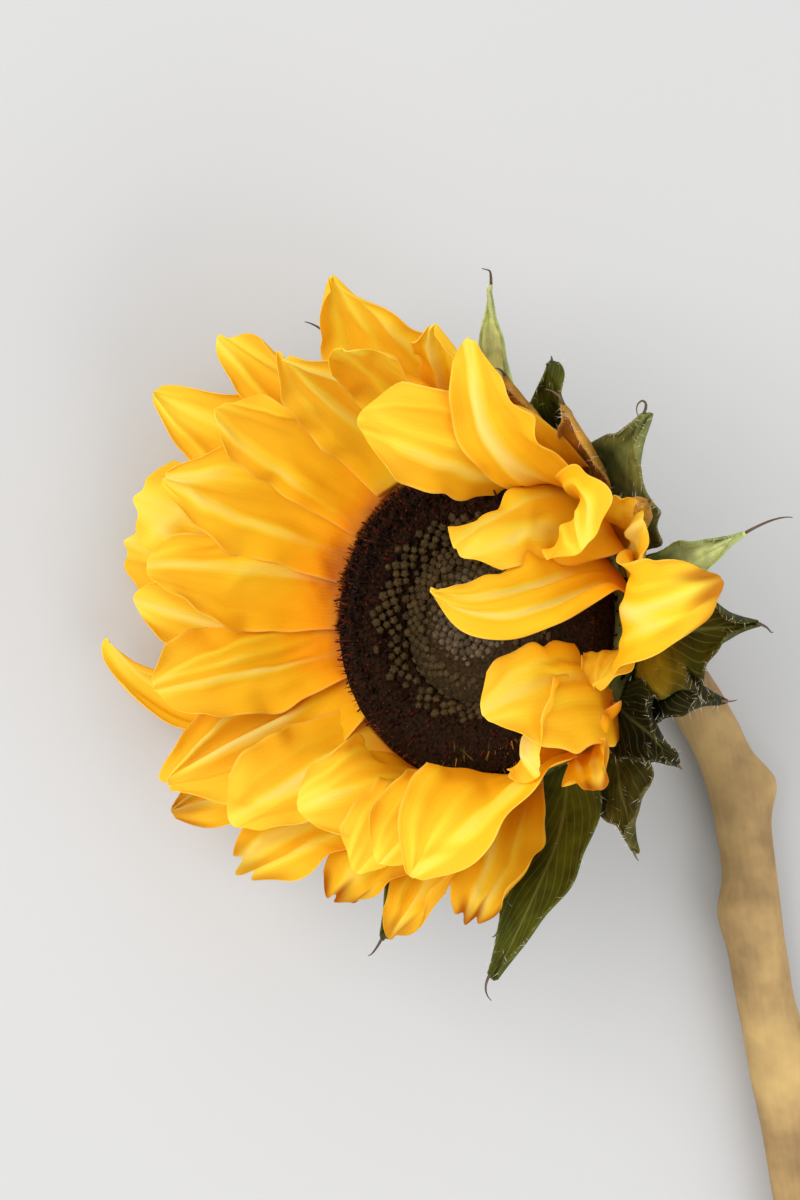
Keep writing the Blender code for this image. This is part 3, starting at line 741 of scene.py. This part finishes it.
# The florets stand on the disc's two solids, in the spirals that a sunflower packs them in.
disc = {
    "florets": 1450, "goldenAngle": 137.508, "reach": 29.8, "seed": 7,
    "openFrom": 17.5, "middleTo": 8.5, "mixing": 1.5, "edge": 28.6, "edgeFall": 1.6,
    "openSize": (0.62, 3.1), "budSize": (0.92, 1.15), "openSink": 1.3, "budSink": 0.6, "rimGrowth": -0.5,
    # foot, body and tip colours of each group; the pale tips of the buds are partly their own colour and
    # partly painted highlight
    "openColours": ("#140602", "#2a0f07", "#5a1c14"), "budColours": ("#241a0a", "#392b14", "#483820"),
    "middleColours": ("#362c1c", "#463a29", "#5a4c3b"),
}


def discTop(radius):
    # height of the disc's upper side, and how far it tilts outwards there
    points = np.concatenate((toHead(nodePoints("disc_ring")), toHead(nodePoints("disc_centre"))))
    radii, heights = np.hypot(points[:, 0], points[:, 1]), points[:, 2]
    top = np.unique(np.stack((radii, heights), 1)[heights > -0.5].round(2), axis=0)
    height = np.interp(radius, top[:, 0], top[:, 1])
    reach = 0.8
    slope = np.interp(radius + reach, top[:, 0], top[:, 1]) - np.interp(radius - reach, top[:, 0], top[:, 1])
    return height, np.arctan2(-slope, 2 * reach)


def discGround(radii, angles, sink=0.0):
    # points on the disc's upper side, which falls away past its edge, and the outward tilt there
    heights, tilts = discTop(np.minimum(radii, disc["edge"]))
    heights = heights - np.maximum(radii - disc["edge"], 0) * disc["edgeFall"] - sink
    return np.stack((radii * np.cos(angles), radii * np.sin(angles), heights), 1), tilts


def takeModel():
    # points and faces of the finished model, which then leaves the scene, put in a fixed order,
    # because extrude numbers new points differently from run to run
    model = bpy.context.active_object
    points = meshPoints(model.data)
    order = np.lexsort(points.T)
    rank = np.argsort(order)
    faces = []
    for face in model.data.polygons:
        corners = rank[list(face.vertices)].tolist()
        first = corners.index(min(corners))
        faces.append(tuple(corners[first:] + corners[:first]))
    bpy.data.objects.remove(model)
    return points[order], sorted(faces)


def modelBud():
    # a closed floret: a five-sided bud that narrows to a blunt point
    bpy.ops.mesh.primitive_cone_add(vertices=5, radius1=0.8, radius2=1.0, depth=0.6, location=(0, 0, 0.3))
    bpy.ops.object.mode_set(mode="EDIT")
    bpy.ops.mesh.select_all(action="DESELECT")
    bpy.ops.object.mode_set(mode="OBJECT")
    bud = bpy.context.active_object
    for face in bud.data.polygons:
        face.select = face.normal.z > 0.9
    bpy.ops.object.mode_set(mode="EDIT")
    for lift, scale in ((0.25, 0.84), (0.2, 0.5)):
        bpy.ops.mesh.extrude_region_move(TRANSFORM_OT_translate={"value": (0, 0, lift)})
        bpy.ops.transform.resize(value=(scale, scale, 1))
    bpy.ops.object.mode_set(mode="OBJECT")
    return takeModel()


def modelOpenFloret():
    # an open floret: a star-shaped tube with a hollow mouth, and the column that stands in it
    bpy.ops.mesh.primitive_cone_add(vertices=10, radius1=0.5, radius2=0.85, depth=0.7, location=(0, 0, 0.35))
    tube = bpy.context.active_object
    for face in tube.data.polygons:
        face.select = face.normal.z > 0.9
    bpy.ops.object.mode_set(mode="EDIT")
    bpy.ops.mesh.inset(thickness=0.3)
    bpy.ops.transform.translate(value=(0, 0, -0.3))
    bpy.ops.object.mode_set(mode="OBJECT")
    points = meshPoints(tube.data)
    rim = (points[:, 2] > 0.65) & (np.hypot(points[:, 0], points[:, 1]) > 0.7)
    angles = np.arctan2(points[:, 0], points[:, 1])
    lobes = rim & (np.cos(5 * angles) > 0)
    points[lobes] *= (1.45, 1.45, 0.96)
    setPoints(tube.data, points)
    bpy.ops.mesh.primitive_cone_add(vertices=5, radius1=0.36, radius2=0.24, depth=0.8, location=(0, 0, 0.7))
    column = bpy.context.active_object
    pick(tube)
    column.select_set(True)
    bpy.ops.object.join()
    return takeModel()


def scatter(name, model, places, tilts, turns, widths, heights, leans):
    # copies of a model, each stood at its place on the disc
    points, faces = model
    copies, allFaces = [], []
    for number in range(len(places)):
        size = np.array((widths[number], widths[number], heights[number]))
        spin = Matrix.Rotation(turns[number], 3, "Z")
        out = Matrix.Rotation(leans[number], 3, "X") @ spin
        radial = math.atan2(places[number][1], places[number][0])
        stand = Matrix.Rotation(radial, 3, "Z") @ Matrix.Rotation(tilts[number], 3, "Y") @ out
        copies.append((points * size) @ np.array(stand).T + places[number])
        allFaces += [tuple(i + number * len(points) for i in face) for face in faces]
    return meshPiece(name, fromHead(np.concatenate(copies)), allFaces)


def floretColours(model, count, colours, rng, paleShare):
    # dark at the foot, and a little redder or paler at the tip; the pale bud tips are partly the florets' own
    # colour and partly painted highlight
    height = model[0][:, 2] / model[0][:, 2].max()
    foot, body, tip = (np.array(linearColour(colour)) for colour in colours)
    toBody = smoothStep(0.1, 0.7, height)[:, None]
    topPart = smoothStep(0.72, 1.0, height)[:, None]
    rows = []
    for _ in range(count):
        # the pale tips are partly painted highlight
        pale = rng.uniform(0.6, 1.0) if rng.uniform() < paleShare else rng.uniform(0, 0.25)
        toTip = topPart * pale
        colour = (foot * (1 - toBody) + body * toBody) * rng.uniform(0.7, 1.3)
        rows.append(np.clip(colour * (1 - toTip) + tip * toTip, 0, 1))
    return np.concatenate(rows)


def finishScatter(piece, material, slot, tints):
    paintPoints(piece.data, "floretTint", tints)
    dress(piece, material, slot)
    piece.data.shade_flat()


def makeFlorets(material):
    rng = np.random.default_rng(disc["seed"])
    index = np.arange(disc["florets"])
    radii = disc["reach"] * np.sqrt((index + 0.5) / disc["florets"])
    angles = np.radians(disc["goldenAngle"] * index)
    ground, tilts = discGround(radii, angles)
    outward = np.stack((np.sin(tilts) * np.cos(angles), np.sin(tilts) * np.sin(angles), np.cos(tilts)), 1)
    isOpen = radii > disc["openFrom"] + rng.uniform(-disc["mixing"], disc["mixing"], len(index))
    isMiddle = radii < disc["middleTo"] + rng.uniform(-disc["mixing"], disc["mixing"], len(index))
    groups = (
        ("openFlorets", modelOpenFloret(), isOpen, disc["openSize"], disc["openSink"],
         disc["openColours"], 0.35, 0.28),
        ("closedFlorets", modelBud(), ~isOpen & ~isMiddle, disc["budSize"], disc["budSink"],
         disc["budColours"], 0.25, 0.14),
        ("middleFlorets", modelBud(), isMiddle, disc["budSize"], disc["budSink"],
         disc["middleColours"], 0.4, 0.1),
    )
    for name, model, chosen, (width, tall), sink, colours, paleShare, sway in groups:
        count = int(chosen.sum())
        growth = 1 + disc["rimGrowth"] * smoothStep(23, 29, radii[chosen])
        piece = scatter(
            name, model, (ground - outward * sink)[chosen], tilts[chosen],
            rng.uniform(0, math.tau, count), width * rng.uniform(0.85, 1.15, count),
            tall * rng.uniform(0.75, 1.25, count) * growth, rng.normal(0, sway, count))
        slot = "disc_ring" if name == "openFlorets" else "disc_centre"
        finishScatter(piece, material, slot, floretColours(model, count, colours, rng, paleShare))


# dry scales between the outer florets and the petals, and where the disc is worn at its lower edge
scaleLook = {"seed": 21, "sink": 0.2, "paleShare": 0.45}
scales = {
    "rimScales": {
        "count": 1500, "radii": (25.6, 29.6), "angles": (0, 360), "size": (0.09, 1.2), "tilts": (10, 70),
        "colours": ("#120604", "#3a160a", "#b8560f")},
    "looseScales": {
        "count": 110, "radii": (22.0, 27.4), "angles": (258, 312), "size": (0.26, 3.6), "tilts": (62, 86),
        "colours": ("#2a2008", "#5a5418", "#b87420")},
}


def makeScales(material):
    rng = np.random.default_rng(scaleLook["seed"])
    bpy.ops.mesh.primitive_cone_add(vertices=4, radius1=1.0, radius2=0.15, depth=1.0, location=(0, 0, 0.5))
    model = takeModel()
    for name, look in scales.items():
        count = look["count"]
        radii = rng.uniform(*look["radii"], count)
        angles = np.radians(rng.uniform(*look["angles"], count))
        places, _ = discGround(radii, angles, scaleLook["sink"])
        width, tall = look["size"]
        piece = scatter(
            name, model, places, np.radians(rng.uniform(*look["tilts"], count)), np.zeros(count),
            width * rng.uniform(0.7, 1.3, count), tall * rng.uniform(0.6, 1.3, count),
            rng.normal(0, 0.3, count))
        tints = floretColours(model, count, look["colours"], rng, scaleLook["paleShare"])
        finishScatter(piece, material, "disc_ring", tints)


floretFinish = {"grain": 0.4, "skin": {"Roughness": 0.6, "Specular IOR Level": 0.12}}
chaffFinish = {
    "ring": ("#0e0603", "#2c1b0d"), "middle": ("#20170b", "#3a2c1a"),
    "grain": 0.6, "bump": 0.3, "skin": {"Roughness": 0.85, "Specular IOR Level": 0.05},
}


def floretMaterial():
    # Disc floret: a dry papery skin, nearly black at the foot.
    material, tree, shader = newMaterial("dryDiscFloret")
    tint = addNode(tree, "Attribute", attribute_name="floretTint").outputs["Color"]
    where = addNode(tree, "TexCoord").outputs["Object"]
    grain = addNode(tree, "TexNoise", {
        "Vector": where, "Scale": 1 / (floretFinish["grain"] * mm)}).outputs["Fac"]
    shade = addNode(tree, "MapRange", {
        "Value": grain, "From Min": 0.3, "From Max": 0.7, "To Min": 0.6, "To Max": 1.4}).outputs["Result"]
    colour = addNode(tree, "Mix", {
        0: 1.0, 6: tint, 7: shade}, data_type="RGBA", blend_type="MULTIPLY").outputs[2]
    setInputs(tree, shader, {"Base Color": colour, **floretFinish["skin"]})
    return material


def chaffMaterial(name, colours):
    # The bed that the florets stand in: dry dark chaff, seen only between them.
    material, tree, shader = newMaterial(name)
    where = addNode(tree, "TexCoord").outputs["Object"]
    grain = addNode(tree, "TexNoise", {
        "Vector": where, "Scale": 1 / (chaffFinish["grain"] * mm), "Detail": 4.0}).outputs["Fac"]
    colour = fillRamp(addNode(tree, "ValToRGB", {"Fac": grain}), (
        (0.35, colours[0]), (0.7, colours[1])))
    bump = addNode(tree, "Bump", {
        "Height": grain, "Distance": chaffFinish["bump"] * mm}).outputs["Normal"]
    setInputs(tree, shader, {"Base Color": colour, "Normal": bump, **chaffFinish["skin"]})
    return material


floretSkin = floretMaterial()
makeFlorets(floretSkin)
makeScales(floretSkin)
coat(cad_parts["disc_ring"], chaffMaterial("darkDiscChaff", chaffFinish["ring"]))
coat(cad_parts["disc_centre"], chaffMaterial("brownDiscChaff", chaffFinish["middle"]))
print("disc florets made")


stem = {
    "ridge": 0.14, "ridgeLength": 40.0, "ridgePitch": 1.5, "lump": 0.35, "lumpPitch": 9.0,
    "plainEnd": 6.0, "cutReach": 8.0, "cutFacing": 0.75,
    "fibrePitch": 0.9, "fibreLength": 14.0, "blotch": 20.0,
    "bark": ((0.0, "#6e5632"), (0.35, "#927448"), (0.62, "#b0905a"), (1.0, "#c8a868")),
    "barkBump": 0.12, "barkRoughness": 0.72,
    "rim": "#6b542c", "pith": "#d9cba6", "pore": 0.5, "pithBump": 0.2, "pithRoughness": 0.9,
}


def makeStem(bark, cut):
    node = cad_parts["stem"]
    piece = newObject("bareStem", node.data.copy())
    pick(piece)
    bpy.ops.object.mode_set(mode="EDIT")
    bpy.ops.mesh.select_all(action="SELECT")
    bpy.ops.mesh.remove_doubles(threshold=0.01 * mm)
    bpy.ops.mesh.tris_convert_to_quads()
    bpy.ops.object.mode_set(mode="OBJECT")
    applyModifier(piece, "SUBSURF", levels=1, render_levels=1)
    mesh = piece.data
    points = meshPoints(mesh) / mm
    normals = np.array([vertex.normal for vertex in mesh.vertices])
    lengthwise, across = 1 / stem["ridgeLength"], 1 / stem["ridgePitch"]
    moves = []
    for x, y, z in points:
        ridge = noise.noise(Vector((x * lengthwise, y * across, z * across)))
        lump = noise.noise(Vector((x, y, z)) / stem["lumpPitch"])
        moves.append(stem["ridge"] * ridge + stem["lump"] * lump)
    end = points[:, 0].max()
    body = smoothStep(0, stem["plainEnd"], end - points[:, 0])
    setPoints(mesh, (points + normals * (np.array(moves) * body)[:, None]) * mm)
    dress(piece, bark, "stem", "stem")
    mesh.materials.append(cut)
    for face in mesh.polygons:
        isCut = face.normal.x > stem["cutFacing"] and face.center.x / mm > end - stem["cutReach"]
        face.material_index = 1 if isCut else 0


def barkMaterial():
    # Dried stem skin: matt fibres along its length, tan and brown in long blotches.
    material, tree, shader = newMaterial("driedStemSkin")
    where = addNode(tree, "TexCoord").outputs["Object"]
    lengthwise, across = 1 / (stem["fibreLength"] * mm), 1 / (stem["fibrePitch"] * mm)
    stretched = addNode(tree, "Mapping", {
        "Vector": where, "Scale": (lengthwise, across, across)}).outputs["Vector"]
    fibres = addNode(tree, "TexNoise", {
        "Vector": stretched, "Scale": 1.0, "Detail": 4.0}).outputs["Fac"]
    blotches = addNode(tree, "TexNoise", {
        "Vector": where, "Scale": 1 / (stem["blotch"] * mm), "Detail": 4.0, "Roughness": 0.6}).outputs["Fac"]
    both = addNode(tree, "Math", {
        0: fibres, 1: 0.1, 2: blotches}, operation="MULTIPLY_ADD").outputs[0]
    place = addNode(tree, "MapRange", {
        "Value": both, "From Min": 0.25, "From Max": 0.85}).outputs["Result"]
    colour = fillRamp(addNode(tree, "ValToRGB", {"Fac": place}), stem["bark"])
    bump = addNode(tree, "Bump", {
        "Height": fibres, "Strength": 0.3, "Distance": stem["barkBump"] * mm}).outputs["Normal"]
    setInputs(tree, shader, {"Base Color": colour, "Normal": bump, "Roughness": stem["barkRoughness"]})
    return material


def pithMaterial():
    # Cut end: pale spongy pith inside a woody rim.
    material, tree, shader = newMaterial("cutStemPith")
    where = addNode(tree, "TexCoord").outputs["Object"]
    sponge = addNode(tree, "TexVoronoi", {
        "Vector": where, "Scale": 1 / (stem["pore"] * mm)}).outputs["Distance"]
    colour = fillRamp(addNode(tree, "ValToRGB", {"Fac": sponge}), (
        (0.1, stem["pith"]), (0.8, stem["rim"])))
    bump = addNode(tree, "Bump", {
        "Height": sponge, "Distance": stem["pithBump"] * mm}).outputs["Normal"]
    setInputs(tree, shader, {"Base Color": colour, "Normal": bump, "Roughness": stem["pithRoughness"]})
    return material


makeStem(barkMaterial(), pithMaterial())
print("stem made")


cupFinish = {
    "greens": ((0.3, "#3d4210"), (0.5, "#5f6524"), (0.72, "#8a8748")),
    "blotch": 5.0, "cell": 0.6, "bump": 0.15, "roughness": 0.7,
}


def cupMaterial():
    # Receptacle skin: tough matt green, pebbled and blotched like the bracts' feet.
    material, tree, shader = newMaterial("receptacleSkin")
    where = addNode(tree, "TexCoord").outputs["Object"]
    blotches = addNode(tree, "TexNoise", {
        "Vector": where, "Scale": 1 / (cupFinish["blotch"] * mm), "Detail": 6.0}).outputs["Fac"]
    colour = fillRamp(addNode(tree, "ValToRGB", {"Fac": blotches}), cupFinish["greens"])
    cells = addNode(tree, "TexVoronoi", {
        "Vector": where, "Scale": 1 / (cupFinish["cell"] * mm)}).outputs["Distance"]
    bump = addNode(tree, "Bump", {
        "Height": cells, "Distance": cupFinish["bump"] * mm}).outputs["Normal"]
    setInputs(tree, shader, {"Base Color": colour, "Normal": bump, "Roughness": cupFinish["roughness"]})
    return material


coat(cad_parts["receptacle"], cupMaterial())
print("receptacle finished")


stageLook = {"floorSize": 24.0, "floorColour": "#bebebe", "roughness": 0.8}      # size in metres


def makeStage():
    bpy.ops.mesh.primitive_plane_add(size=stageLook["floorSize"], location=(0, 0, 0))
    floor = bpy.context.active_object
    floor.name = "floor"
    # Matt paperboard: an even pale sheet with no sheen.
    material, tree, shader = newMaterial("mattPaperboard")
    setInputs(tree, shader, {
        "Base Color": stageLook["floorColour"], "Roughness": stageLook["roughness"]})
    coat(floor, material)


cameraPlace = {"distance": 503.0, "elevation": 77.0, "roll": 81.34, "right": -12.8, "up": 3.6, "lens": 85.0}


def makeCamera():
    # looks down on the flower, with the head's axis towards its left
    tilt = Matrix.Rotation(math.radians(90 - cameraPlace["elevation"]), 3, "X")
    turn = tilt @ Matrix.Rotation(math.radians(cameraPlace["roll"]), 3, "Z")
    offset = turn @ Vector((cameraPlace["right"], cameraPlace["up"], cameraPlace["distance"]))
    data = bpy.data.cameras.new("camera")
    data.lens = cameraPlace["lens"]
    camera = newObject("camera", data)
    camera.matrix_world = Matrix.Translation((Vector(headOrigin) + offset) * mm) @ turn.to_4x4()
    bpy.context.scene.camera = camera


lamps = {
    "bigSoftbox": {"place": (-0.55, -1.1, 1.1), "size": 1.3, "power": 22.0},        # metres and watts
    "fillSoftbox": {"place": (0.9, 0.8, 1.0), "size": 1.4, "power": 13.0},
}
skyStrength = 0.78


def makeLights():
    for name, lamp in lamps.items():
        data = bpy.data.lights.new(name, "AREA")
        data.size, data.energy = lamp["size"], lamp["power"]
        light = newObject(name, data)
        light.location = lamp["place"]
        aim = Vector(headOrigin) * mm - Vector(lamp["place"])
        light.rotation_euler = aim.to_track_quat("-Z", "Y").to_euler()
    world = bpy.data.worlds.new("studio")
    world.use_nodes = True
    sky = world.node_tree.nodes["Background"]
    setInputs(world.node_tree, sky, {"Color": (1, 1, 1, 1), "Strength": skyStrength})
    bpy.context.scene.world = world
    bpy.context.scene.view_settings.view_transform = "Standard"


makeStage()
makeCamera()
makeLights()
print("stage, camera and lights made")
